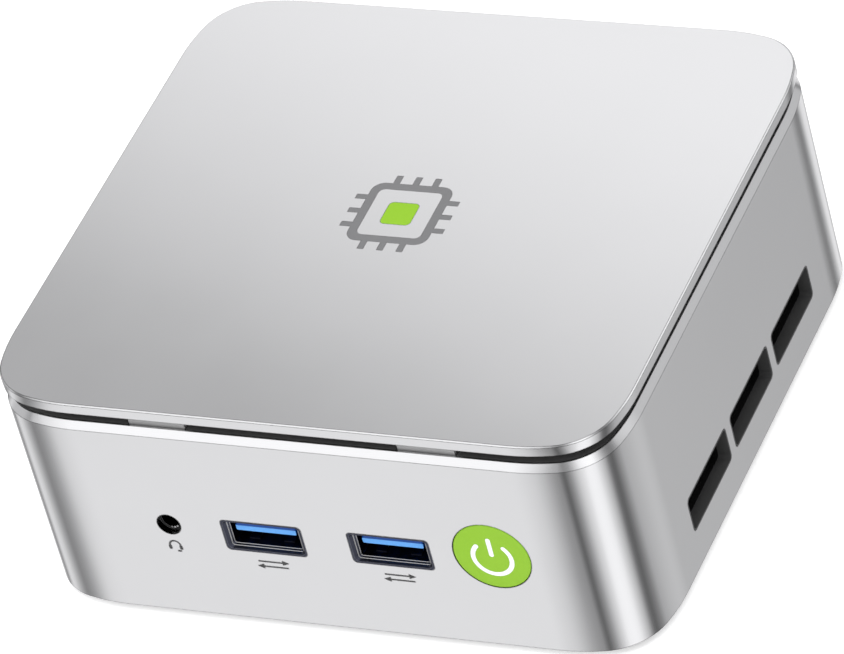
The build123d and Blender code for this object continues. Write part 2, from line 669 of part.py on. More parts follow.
with BuildPart() as socket_contacts:
    for plane, place in usb_places():
        contact_top = USB_SPACE[1] / 2 - TONGUE_GAP - USB_TONGUE[1]
        for shift in (-3.5, -1.0, 1.0, 3.5):
            with BuildSketch(plane.offset(-TONGUE_START - 0.8)):
                with Locations((place[0] + shift, place[1] + contact_top - 0.09)):
                    Rectangle(1.0, 0.18)
            extrude(amount=-7.5)
    for n in range(8):
        contact_x = LAN_X + (n - 3.5) * 1.02
        contact_z = LAN_SPACE_Z - LAN_SPACE[1] / 2
        block((contact_x - 0.2, contact_x + 0.2), (BACK - 12.0, BACK - 4.0), (contact_z, contact_z + 0.5))
keep(socket_contacts, "socket_contacts")

with BuildPart() as hdmi_shells:
    for hdmi_x in HDMI_X:
        place = (-hdmi_x, HDMI_Z)
        window(BACK_PLANE, place, (HDMI_MOUTH[0] - 0.1, HDMI_MOUTH[1] - 0.1), 0.7, 12.0, Mode.ADD)
        window(BACK_PLANE, place, (HDMI_MOUTH[0] - 1.1, HDMI_MOUTH[1] - 1.2), 0.5, 11.0)
        block((hdmi_x - 6.0, hdmi_x + 6.0), (BACK - 11.6, BACK - 3.0), (BOARD_TOP, HDMI_Z - 2.4))
keep(hdmi_shells, "hdmi_shells")

with BuildPart() as hdmi_tongues:
    for hdmi_x in HDMI_X:
        block((hdmi_x - 5.3, hdmi_x + 5.3), (BACK - 11.0, BACK - 1.6), (HDMI_Z - 0.5, HDMI_Z + 0.5))
        block((hdmi_x - 6.9, hdmi_x + 6.9), (BACK - 11.0, BACK - 9.0), (HDMI_Z - 2.2, HDMI_Z + 2.2))
keep(hdmi_tongues, "hdmi_tongues")

with BuildPart() as lan_socket:
    window(BACK_PLANE, (-LAN_X, BOARD_TOP + LAN_SIZE[1] / 2), LAN_SIZE, 0.3, LAN_DEPTH, Mode.ADD)
    window(BACK_PLANE, (-LAN_X, LAN_SPACE_Z), LAN_SPACE, 0.2, LAN_SPACE_DEPTH)
    window(BACK_PLANE, (-LAN_X, LAN_SPACE_Z + 4.6), (6.2, 2.6), 0.2, LAN_SPACE_DEPTH)
    for side in (-1, 1):
        window(BACK_PLANE, (-LAN_X + side * 5.6, BOARD_TOP + 11.8), (2.6, 1.6), 0.2, 0.6)
keep(lan_socket, "lan_socket")

with BuildPart() as dc_inlet:
    dc_front = BACK - WALL - 0.15
    block((DC_X - DC_SIZE[0] / 2, DC_X + DC_SIZE[0] / 2), (dc_front - 12.0, dc_front),
          (BOARD_TOP, BOARD_TOP + DC_SIZE[1]))
    rod(DC_X, DC_Z, dc_front, BACK - 0.4, DC_HOLE_RADIUS + 0.5)
    rod(DC_X, DC_Z, dc_front - 10.0, BACK, DC_HOLE_RADIUS, Mode.SUBTRACT)
keep(dc_inlet, "dc_inlet")

with BuildPart() as dc_pin:
    rod(DC_X, DC_Z, dc_front - 10.0, BACK - 1.2, 1.0)
keep(dc_pin, "dc_pin")

# Motherboard and what stands on it ---------------------------------------------

BOARD_HALF_X = 52.0
BOARD_FRONT = -49.5
BOARD_BACK = 50.5
NOTCH_BACK = -47.8
BOARD_HOLE = 1.4

with BuildPart() as motherboard:
    block((-BOARD_HALF_X, BOARD_HALF_X), (BOARD_FRONT, BOARD_BACK), (BOARD_BOTTOM, BOARD_TOP))
    notch_x = (BUTTON_X - 10.2, BOARD_HALF_X + 1)
    block(notch_x, (BOARD_FRONT - 1, NOTCH_BACK), (BOARD_BOTTOM, BOARD_TOP), Mode.SUBTRACT)
    for sx, sy in CORNERS:
        post(sx * BOSS_X, sy * BOSS_Y, BOARD_BOTTOM, BOARD_TOP, BOSS_RADIUS + 0.5, Mode.SUBTRACT)
        corner_x = sorted((sx * (BOSS_X - 1), sx * (BOARD_HALF_X + 1)))
        corner_y = sorted((sy * (BOSS_Y - 4.5), sy * (BACK - 1)))
        block(corner_x, corner_y, (BOARD_BOTTOM, BOARD_TOP), Mode.SUBTRACT)
        post(sx * STANDOFF_X, sy * STANDOFF_Y, BOARD_BOTTOM, BOARD_TOP, BOARD_HOLE, Mode.SUBTRACT)
        cooler_place = (sx * 17.0, BLOWER_Y + sy * 13.0)
        post(*cooler_place, BOARD_BOTTOM, BOARD_TOP, BOARD_HOLE, Mode.SUBTRACT)
keep(motherboard, "motherboard")

with BuildPart() as board_standoffs:
    for sx, sy in CORNERS:
        with BuildSketch(Plane.XY.offset(COVER_TOP)):
            with Locations((sx * STANDOFF_X, sy * STANDOFF_Y)):
                RegularPolygon(2.6, 6)
                Circle(SCREW_HOLE, mode=Mode.SUBTRACT)
        extrude(amount=BOARD_BOTTOM - COVER_TOP)
keep(board_standoffs, "board_standoffs")

with BuildPart() as board_screws:
    for sx, sy in CORNERS:
        screw(sx * STANDOFF_X, sy * STANDOFF_Y, BOARD_TOP, 6.0, False)
keep(board_screws, "board_screws")

with BuildPart() as processor:
    block((-13.0, 13.0), (BLOWER_Y - 9.5, BLOWER_Y + 9.5), (BOARD_BOTTOM - 0.5, BOARD_BOTTOM))
    block((-8.0, 8.0), (BLOWER_Y - 5.0, BLOWER_Y + 5.0), (BOARD_BOTTOM - 1.2, BOARD_BOTTOM - 0.5))
keep(processor, "processor")

MEMORY_Y = (-38.0, -33.0)
MEMORY_Z = BOARD_TOP + 2.6

with BuildPart() as memory_socket:
    block((-36.0, 36.0), MEMORY_Y, (BOARD_TOP, MEMORY_Z + 1.9))
    for side in (-1, 1):
        arm_x = sorted((side * 34.1, side * 36.0))
        block(arm_x, (MEMORY_Y[1], MEMORY_Y[1] + 20.0), (BOARD_TOP, MEMORY_Z - 0.1))
    block((-33.9, 33.9), (MEMORY_Y[1] - 3.0, MEMORY_Y[1]), (MEMORY_Z, MEMORY_Z + 1.1), Mode.SUBTRACT)
keep(memory_socket, "memory_socket")

with BuildPart() as memory_board:
    block((-33.8, 33.8), (MEMORY_Y[1] - 3.0, MEMORY_Y[1] + 27.0), (MEMORY_Z + 0.05, MEMORY_Z + 1.05))
keep(memory_board, "memory_board")

with BuildPart() as memory_chips:
    for n in range(4):
        chip_x = (n - 1.5) * 15.0
        block((chip_x - 5.5, chip_x + 5.5), (MEMORY_Y[1] + 6.0, MEMORY_Y[1] + 20.0),
              (MEMORY_Z + 1.05, MEMORY_Z + 2.1))
keep(memory_chips, "memory_chips")

DRIVE_Y = (3.0, 25.0)
DRIVE_Z = BOARD_TOP + 2.2

with BuildPart() as drive_socket:
    block((36.0, 44.0), DRIVE_Y, (BOARD_TOP, DRIVE_Z + 1.8))
    block((35.0, 40.0), (DRIVE_Y[0] - 0.1, DRIVE_Y[1] + 0.1), (DRIVE_Z, DRIVE_Z + 0.9), Mode.SUBTRACT)
keep(drive_socket, "drive_socket")

with BuildPart() as drive_board:
    block((-40.0, 39.9), DRIVE_Y, (DRIVE_Z + 0.05, DRIVE_Z + 0.85))
    post(-40.0, sum(DRIVE_Y) / 2, DRIVE_Z, DRIVE_Z + 1.0, 1.75, Mode.SUBTRACT)
keep(drive_board, "drive_board")

with BuildPart() as drive_chips:
    for chip_x, chip_width in ((-24.0, 18.0), (-2.0, 18.0), (20.0, 14.0)):
        block((chip_x - chip_width / 2, chip_x + chip_width / 2), (DRIVE_Y[0] + 4.0, DRIVE_Y[1] - 4.0),
              (DRIVE_Z + 0.85, DRIVE_Z + 1.9))
keep(drive_chips, "drive_chips")

with BuildPart() as drive_screw:
    screw_y = sum(DRIVE_Y) / 2
    post(-40.6, screw_y, BOARD_TOP, DRIVE_Z + 0.9, 1.1)
    post(-40.6, screw_y, DRIVE_Z + 0.9, DRIVE_Z + 1.7, 2.0)
keep(drive_screw, "drive_screw")

RADIO_X = (37.6, 50.6)
RADIO_Y = (-28.0, -12.0)
RADIO_TOP = BOARD_TOP + 2.4

with BuildPart() as radio_module:
    block(RADIO_X, RADIO_Y, (BOARD_TOP, BOARD_TOP + 0.8))
    block((RADIO_X[0] + 1, RADIO_X[1] - 1), (RADIO_Y[0] + 1, RADIO_Y[1] - 1), (BOARD_TOP + 0.8, RADIO_TOP))
keep(radio_module, "radio_module")

ANTENNA_X = WIDTH / 2 - WALL
LEAD_RADIUS = 0.5
LEAD_ROUTES = (
    ((ANTENNA_X - 0.4, -17.0, 25.0), (46.5, -17.0, 25.0), (46.5, -17.0, RADIO_TOP)),
    ((0.4 - ANTENNA_X, -25.0, 27.0), (42.0, -25.0, 27.0), (42.0, -25.0, RADIO_TOP)),
)

with BuildPart() as antennas:
    for side in (-1, 1):
        antenna_x = sorted((side * ANTENNA_X, side * (ANTENNA_X - 0.4)))
        block(antenna_x, (-28.0, 6.0), (22.0, 34.0))
keep(antennas, "antennas")


def lead(route, radius, bend):
    """A round wire along a route with rounded bends, added to the active part."""
    with BuildLine() as path:
        FilletPolyline(*route, radius=bend)
    start = Vector(*route[0])
    with BuildSketch(Plane(origin=start, z_dir=Vector(*route[1]) - start)) as section:
        Circle(radius)
    sweep(section.sketch, path=path.line)


with BuildPart() as antenna_leads:
    for route in LEAD_ROUTES:
        lead(route, LEAD_RADIUS, 3.5)
keep(antenna_leads, "antenna_leads")

with BuildPart() as coin_cell:
    post(-44.0, -20.0, BOARD_TOP, BOARD_TOP + 3.2, 6.25)
    fillet(coin_cell.edges().filter_by(GeomType.CIRCLE), 0.35)
keep(coin_cell, "coin_cell")

# Cooler and blower under the board ------------------------------------------------

with BuildPart() as cooler_base:
    block((-20.0, 20.0), (BLOWER_Y - 16.0, BLOWER_Y + 16.0), (PIPE_TOP, BOARD_BOTTOM - 1.2))
    for sx, sy in CORNERS:
        post(sx * 17.0, BLOWER_Y + sy * 13.0, PIPE_TOP, BOARD_BOTTOM, BOARD_HOLE, Mode.SUBTRACT)
keep(cooler_base, "cooler_base")

with BuildPart() as heat_pipes:
    for side in (-1, 1):
        with BuildSketch(Plane.XZ.offset(16.0 - BLOWER_Y)):
            with Locations((side * 8.5, (PIPE_BOTTOM + PIPE_TOP) / 2)):
                RectangleRounded(7.0, PIPE_TOP - PIPE_BOTTOM, 0.65)
        extrude(amount=-(16.0 - BLOWER_Y + FIN_BACK - 1.0))
keep(heat_pipes, "heat_pipes")

with BuildPart() as cooler_fins:
    fin_half = BLOWER_WIDTH / 2 - 1.5
    block((-fin_half, fin_half), (FIN_FRONT, FIN_BACK), (PIPE_BOTTOM - 0.6, PIPE_BOTTOM))
    fin_pitch = 2.1
    fin_count = 28
    for n in range(fin_count):
        fin_x = (n - (fin_count - 1) / 2) * fin_pitch
        block((fin_x - 0.2, fin_x + 0.2), (FIN_FRONT, FIN_BACK), (BLOWER_BOTTOM + 0.4, PIPE_BOTTOM - 0.6))
keep(cooler_fins, "cooler_fins")

with BuildPart() as cooler_screws:
    for sx, sy in CORNERS:
        screw(sx * 17.0, BLOWER_Y + sy * 13.0, PIPE_TOP, BOARD_TOP - PIPE_TOP, True)
keep(cooler_screws, "cooler_screws")

INTAKE_RADIUS = 17.0

with BuildPart() as blower_housing:
    half = BLOWER_WIDTH / 2
    block((-half, half), (BLOWER_Y - 27.0, FIN_FRONT - 0.5), (BLOWER_BOTTOM, BLOWER_TOP))
    fillet(blower_housing.edges().filter_by(Axis.Z).sort_by(Axis.Y)[:2], 12.0)
    cavity = (-half + 1.2, half - 1.2)
    block(cavity, (BLOWER_Y - 4.0, FIN_FRONT), (BLOWER_BOTTOM + 1.0, BLOWER_TOP), Mode.SUBTRACT)
    post(0, BLOWER_Y, BLOWER_BOTTOM + 1.0, BLOWER_TOP, 25.5, Mode.SUBTRACT)
    post(0, BLOWER_Y, BLOWER_BOTTOM, BLOWER_TOP, INTAKE_RADIUS, Mode.SUBTRACT)
keep(blower_housing, "blower_housing")

with BuildPart() as blower_cover:
    block((-half, half), (BLOWER_Y - 27.0, FIN_FRONT - 0.5), (BLOWER_TOP, PIPE_BOTTOM))
    fillet(blower_cover.edges().filter_by(Axis.Z).sort_by(Axis.Y)[:2], 12.0)
keep(blower_cover, "blower_cover")

keep(motor(BLOWER_BOTTOM + 3.2, BLOWER_TOP, BLOWER_Y, 6.2), "blower_motor")
blower_wheel = rotor(BLOWER_BOTTOM + 1.6, BLOWER_TOP - 0.6, BLOWER_Y, 9.0, 23.0, 17, 32, False)
keep(blower_wheel, "blower_rotor")

# Fan leads and their connectors ------------------------------------------------------

PLUG_X = -43.0
HEADER_HEIGHT = 2.4
PLUG_HEIGHT = 2.2
FAN_PLUG_TOP = BOARD_TOP + HEADER_HEIGHT + PLUG_HEIGHT
BLOWER_PLUG_BOTTOM = BOARD_BOTTOM - HEADER_HEIGHT - PLUG_HEIGHT
PLUG_YS = (-3.0, -14.0)

with BuildPart() as fan_headers:
    block((PLUG_X - 3, PLUG_X + 3), (PLUG_YS[0] - 2, PLUG_YS[0] + 2), (BOARD_TOP, BOARD_TOP + HEADER_HEIGHT))
    block((PLUG_X - 3, PLUG_X + 3), (PLUG_YS[1] - 2, PLUG_YS[1] + 2),
          (BOARD_BOTTOM - HEADER_HEIGHT, BOARD_BOTTOM))
keep(fan_headers, "fan_headers")

with BuildPart() as fan_plugs:
    block((PLUG_X - 2.6, PLUG_X + 2.6), (PLUG_YS[0] - 1.6, PLUG_YS[0] + 1.6),
          (FAN_PLUG_TOP - PLUG_HEIGHT, FAN_PLUG_TOP))
    block((PLUG_X - 2.6, PLUG_X + 2.6), (PLUG_YS[1] - 1.6, PLUG_YS[1] + 1.6),
          (BLOWER_PLUG_BOTTOM, BLOWER_PLUG_BOTTOM + PLUG_HEIGHT))
keep(fan_plugs, "fan_plugs")

FAN_LEAD_RADIUS = 0.9
FAN_ROUTES = (
    ((-FAN_SIZE / 2, PLUG_YS[0], 34.0), (PLUG_X, PLUG_YS[0], 34.0), (PLUG_X, PLUG_YS[0], FAN_PLUG_TOP)),
    ((-BLOWER_WIDTH / 2, PLUG_YS[1], 6.6), (PLUG_X, PLUG_YS[1], 6.6),
     (PLUG_X, PLUG_YS[1], BLOWER_PLUG_BOTTOM)),
)

with BuildPart() as fan_leads:
    lead(FAN_ROUTES[0], FAN_LEAD_RADIUS, 4.5)
    lead(FAN_ROUTES[1], FAN_LEAD_RADIUS, 3.0)
keep(fan_leads, "fan_leads")

os.makedirs("parts", exist_ok=True)
for name, piece in pieces.items():
    export_step(piece, f"parts/{name}.step")
    print(name, round(piece.volume, 2))
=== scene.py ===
import json
import math
import random
import bmesh
import bpy
from mathutils import Matrix, Vector


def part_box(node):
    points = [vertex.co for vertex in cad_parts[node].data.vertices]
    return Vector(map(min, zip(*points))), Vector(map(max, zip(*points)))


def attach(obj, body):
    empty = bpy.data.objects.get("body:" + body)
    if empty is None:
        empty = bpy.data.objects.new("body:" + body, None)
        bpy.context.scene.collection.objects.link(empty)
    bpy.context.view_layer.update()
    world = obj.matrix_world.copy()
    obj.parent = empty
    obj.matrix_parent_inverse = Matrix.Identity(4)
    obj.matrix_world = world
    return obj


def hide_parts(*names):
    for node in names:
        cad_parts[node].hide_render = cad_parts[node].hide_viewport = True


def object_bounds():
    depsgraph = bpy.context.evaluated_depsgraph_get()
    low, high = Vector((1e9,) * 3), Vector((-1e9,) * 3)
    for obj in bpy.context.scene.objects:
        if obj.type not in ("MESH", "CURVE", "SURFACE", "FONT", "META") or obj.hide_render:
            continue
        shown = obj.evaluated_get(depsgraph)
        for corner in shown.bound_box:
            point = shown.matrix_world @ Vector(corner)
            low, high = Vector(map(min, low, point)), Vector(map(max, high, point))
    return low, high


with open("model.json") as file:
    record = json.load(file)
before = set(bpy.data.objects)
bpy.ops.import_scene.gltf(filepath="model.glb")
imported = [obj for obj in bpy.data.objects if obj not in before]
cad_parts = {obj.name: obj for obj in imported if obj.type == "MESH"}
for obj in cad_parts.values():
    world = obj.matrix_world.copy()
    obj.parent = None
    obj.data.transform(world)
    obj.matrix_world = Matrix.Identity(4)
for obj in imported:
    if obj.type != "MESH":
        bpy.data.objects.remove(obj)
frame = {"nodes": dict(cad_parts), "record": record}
CAD_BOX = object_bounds()
MM = 0.001

# Camera: a long lens from the right of the front, tilted sideways as in a product shot
CAMERA_PLACE = Vector((0.50837, -0.83207, 0.79519))
CAMERA_AIM = Vector((-0.0010, -0.0014, 0.0226))
CAMERA_ROLL = math.radians(-15.78)
CAMERA_LENS = 310.05

# The studio round the object: brightness by compass direction, in degrees from +X,
# below the horizon (mirrored in the walls) and high above it (mirrored in the bevels)
LOW_PANELS = (
    (-180, 0.76), (-171, 0.56), (-161, 0.38), (-152, 0.24), (-146, 0.41), (-137, 0.84),
    (-122, 0.94), (-108, 0.77), (-97, 0.37), (-84, 0.11), (-72, 0.36), (-60, 0.74),
    (-46, 1.10), (-37, 1.15), (-27, 1.09), (-17, 0.78), (-9, 0.55), (0, 0.18), (8, 0.125),
    (24, 0.33), (40, 0.57), (50, 0.65), (63, 0.52), (74, 0.13), (84, 0.92), (90, 0.95),
    (104, 0.46), (122, 0.48), (134, 0.80), (153, 0.24), (168, 0.86),
)
HIGH_PANELS = (
    (-180, 1.34), (-173, 1.18), (-164, 0.38), (-156, 0.20), (-147, 0.38), (-138, 0.96),
    (-122, 1.26), (-112, 1.12), (-103, 0.86), (-94, 0.45), (-84, 0.26), (-73, 0.38),
    (-62, 0.78), (-52, 1.15), (-40, 1.26), (-28, 1.28), (-18, 0.86), (-8, 0.42),
    (2, 0.23), (10, 0.24), (18, 0.42), (27, 0.70), (38, 1.12), (48, 1.16), (58, 0.86),
    (66, 0.40), (74, 0.18), (92, 0.30), (110, 0.60), (135, 0.60), (165, 0.30),
)
STUDIO_TINT = (1.0, 1.0, 1.014)

# The even walls between the two, and where they blend into each, as the height of a direction
STUDIO_WALLS = (0.60, 0.60, 0.61)
WALLS_FROM = (-0.08, 0.08)
WALLS_TO = (0.27, 0.39)

# The panel mirrored in the lid, in metres: its height over the lid, half its side, and the way
# and span of its grade. Its brightness runs from its near left corner to its far right one
LID_PANEL_HEIGHT = 0.25
LID_PANEL_HALF = 0.13
LID_PANEL_GRADE = (4.2, 10.0, 0)
LID_PANEL_SPAN = 0.70
LID_PANEL_STOPS = ((0.0, 0.50), (0.29, 0.75), (0.55, 0.90), (0.71, 0.97), (1.0, 1.08))

# The one lamp, in metres and watts, and the paper on the floor
OVERHEAD_PLACE = Vector((-0.15, -0.35, 1.5))
OVERHEAD_SIDE = 2.2
OVERHEAD_POWER = 24.0
PAPER_HALF = 4.0
PAPER_GREY = (0.80, 0.80, 0.80, 1)
PAPER_GLOW = 0.45

# Vertices closer than this are one, in metres, and an edge steeper than its angle stays sharp
JOIN_DISTANCE = 0.001 * MM
CAD_CREASE = math.radians(24)
DETAIL_CREASE = math.radians(35)

# A material's colour varies with its fine grain by this share and with broad patches by the
# rest. Painted edge shade, highlights and wear start where the rounded normal leaves the flat one, and are
# full at the second level
GRAIN_SHARE = 0.55
EDGE_SHADE_AND_WEAR_LEVELS = (0.999, 0.982)

# Numbers of the colour sockets of a mix node: its two inputs and its output
MIX_FIRST = 6
MIX_SECOND = 7
MIX_RESULT = 2


def node(tree, kind, **settings):
    """Add a node and set its properties, and its inputs by their names after in_."""
    made = tree.nodes.new(kind)
    for key, value in settings.items():
        if key.startswith("in_"):
            made.inputs[key[3:].replace("_", " ")].default_value = value
        else:
            setattr(made, key, value)
    return made


def link(tree, source, target):
    """Join an output of one node to an input of another."""
    tree.links.new(source, target)


def rescale(tree, source, start, stop, **settings):
    """Map a value that runs from start to stop onto 0 to 1."""
    made = node(tree, "ShaderNodeMapRange", **settings)
    made.inputs["From Min"].default_value = start
    made.inputs["From Max"].default_value = stop
    link(tree, source, made.inputs["Value"])
    return made


def make_camera():
    """The camera of the front view."""
    camera = bpy.data.objects.new("camera", bpy.data.cameras.new("camera"))
    bpy.context.scene.collection.objects.link(camera)
    camera.data.sensor_width = 36.0
    camera.data.lens = CAMERA_LENS
    camera.data.clip_start = 0.05
    camera.data.clip_end = 20.0
    turn = (CAMERA_AIM - CAMERA_PLACE).to_track_quat("-Z", "Y").to_matrix().to_4x4()
    camera.matrix_world = Matrix.Translation(CAMERA_PLACE) @ turn @ Matrix.Rotation(CAMERA_ROLL, 4, "Z")
    bpy.context.scene.camera = camera


def fill_ramp(ramp, stops):
    """Set a colour ramp's stops from pairs of position and level."""
    elements = ramp.color_ramp.elements
    while len(elements) > 1:
        elements.remove(elements[-1])
    for number, (position, level) in enumerate(stops):
        stop = elements[0] if number == 0 else elements.new(position)
        stop.position = position
        stop.color = (*(level * tint for tint in STUDIO_TINT), 1)


def compass_stops(panels):
    """Panels given by degrees as ramp stops, closed round the circle."""
    turns = [((degrees + 180) / 360, level) for degrees, level in panels]
    return turns + [(1.0, turns[0][1])]


def make_world():
    """Soft studio surroundings whose panels give the metal its bright and dark bands."""
    world = bpy.data.worlds.new("studio")
    bpy.context.scene.world = world
    world.use_nodes = True
    tree = world.node_tree
    tree.nodes.clear()
    where = node(tree, "ShaderNodeTexCoord")
    split = node(tree, "ShaderNodeSeparateXYZ")
    link(tree, where.outputs["Generated"], split.inputs[0])
    compass = node(tree, "ShaderNodeMath", operation="ARCTAN2")
    link(tree, split.outputs["Y"], compass.inputs[0])
    link(tree, split.outputs["X"], compass.inputs[1])
    turn = rescale(tree, compass.outputs[0], -math.pi, math.pi)
    low = node(tree, "ShaderNodeValToRGB")
    fill_ramp(low, compass_stops(LOW_PANELS))
    high = node(tree, "ShaderNodeValToRGB")
    fill_ramp(high, compass_stops(HIGH_PANELS))
    link(tree, turn.outputs[0], low.inputs[0])
    link(tree, turn.outputs[0], high.inputs[0])
    height = rescale(tree, split.outputs["Z"], *WALLS_FROM, interpolation_type="SMOOTHSTEP")
    above = rescale(tree, split.outputs["Z"], *WALLS_TO, interpolation_type="SMOOTHSTEP")
    walls = node(tree, "ShaderNodeMix", data_type="RGBA")
    walls.inputs[MIX_FIRST].default_value = (*STUDIO_WALLS, 1)
    link(tree, above.outputs[0], walls.inputs["Factor"])
    link(tree, high.outputs[0], walls.inputs[MIX_SECOND])
    blend = node(tree, "ShaderNodeMix", data_type="RGBA")
    link(tree, height.outputs[0], blend.inputs["Factor"])
    link(tree, low.outputs[0], blend.inputs[MIX_FIRST])
    link(tree, walls.outputs[MIX_RESULT], blend.inputs[MIX_SECOND])
    background = node(tree, "ShaderNodeBackground")
    link(tree, blend.outputs[MIX_RESULT], background.inputs["Color"])
    output = node(tree, "ShaderNodeOutputWorld")
    link(tree, background.outputs[0], output.inputs[0])


def flat_sheet(name, middle, half):
    """A square horizontal sheet, linked to the scene."""
    mesh = bpy.data.meshes.new(name)
    corners = [(-half, -half, 0), (half, -half, 0), (half, half, 0), (-half, half, 0)]
    mesh.from_pydata(corners, [], [(0, 1, 2, 3)])
    sheet = bpy.data.objects.new(name, mesh)
    sheet.location = middle
    bpy.context.scene.collection.objects.link(sheet)
    return sheet


def make_lid_panel():
    """A graded softbox that is seen only mirrored in the lid."""
    lid_middle = Vector((0, 0, CAD_BOX[1][2]))
    look = (lid_middle - CAMERA_PLACE).normalized()
    rise = LID_PANEL_HEIGHT / -look.z
    middle = lid_middle + Vector((look.x * rise, look.y * rise, LID_PANEL_HEIGHT))
    panel = flat_sheet("lid_softbox", middle, LID_PANEL_HALF)
    material = bpy.data.materials.new("lid_softbox")
    material.use_nodes = True
    tree = material.node_tree
    tree.nodes.clear()
    where = node(tree, "ShaderNodeTexCoord")
    along = node(tree, "ShaderNodeVectorMath", operation="DOT_PRODUCT")
    along.inputs[1].default_value = LID_PANEL_GRADE
    link(tree, where.outputs["Object"], along.inputs[0])
    grade = rescale(tree, along.outputs["Value"], -LID_PANEL_SPAN, LID_PANEL_SPAN)
    ramp = node(tree, "ShaderNodeValToRGB")
    fill_ramp(ramp, LID_PANEL_STOPS)
    link(tree, grade.outputs[0], ramp.inputs[0])
    glow = node(tree, "ShaderNodeEmission")
    link(tree, ramp.outputs[0], glow.inputs["Color"])
    output = node(tree, "ShaderNodeOutputMaterial")
    link(tree, glow.outputs[0], output.inputs[0])
    panel.data.materials.append(material)
    panel.visible_camera = False
    panel.visible_diffuse = False
    panel.visible_shadow = False
    panel.visible_transmission = False


def make_lights():
    """A broad overhead panel, which lights the paper and the plastics."""
    data = bpy.data.lights.new("overhead_panel", "AREA")
    data.shape = "RECTANGLE"
    data.size = data.size_y = OVERHEAD_SIDE
    data.energy = OVERHEAD_POWER
    overhead = bpy.data.objects.new("overhead_panel", data)
    bpy.context.scene.collection.objects.link(overhead)
    lid_middle = Vector((0, 0, CAD_BOX[1][2]))
    aim = (lid_middle - OVERHEAD_PLACE).to_track_quat("-Z", "Y").to_matrix().to_4x4()
    overhead.matrix_world = Matrix.Translation(OVERHEAD_PLACE) @ aim
    overhead.visible_camera = False
    overhead.visible_glossy = False


def make_floor():
    """Pale paper, lit a little from within so that the shadow on it stays light."""
    floor = flat_sheet("floor", (0, 0, 0), PAPER_HALF)
    material = bpy.data.materials.new("floor_paper")
    material.use_nodes = True
    tree = material.node_tree
    shader = tree.nodes["Principled BSDF"]
    fibres = node(tree, "ShaderNodeTexNoise", in_Scale=900.0, in_Detail=3.0)
    where = node(tree, "ShaderNodeTexCoord")
    link(tree, where.outputs["Object"], fibres.inputs["Vector"])
    bump = node(tree, "ShaderNodeBump")
    bump.inputs["Distance"].default_value = 0.05 * MM
    link(tree, fibres.outputs["Fac"], bump.inputs["Height"])
    link(tree, bump.outputs[0], shader.inputs["Normal"])
    shader.inputs["Base Color"].default_value = PAPER_GREY
    shader.inputs["Roughness"].default_value = 0.9
    shader.inputs["Emission Color"].default_value = (1, 1, 1, 1)
    shader.inputs["Emission Strength"].default_value = PAPER_GLOW
    floor.data.materials.append(material)
    floor.visible_glossy = False


# Materials -----------------------------------------------------------------------


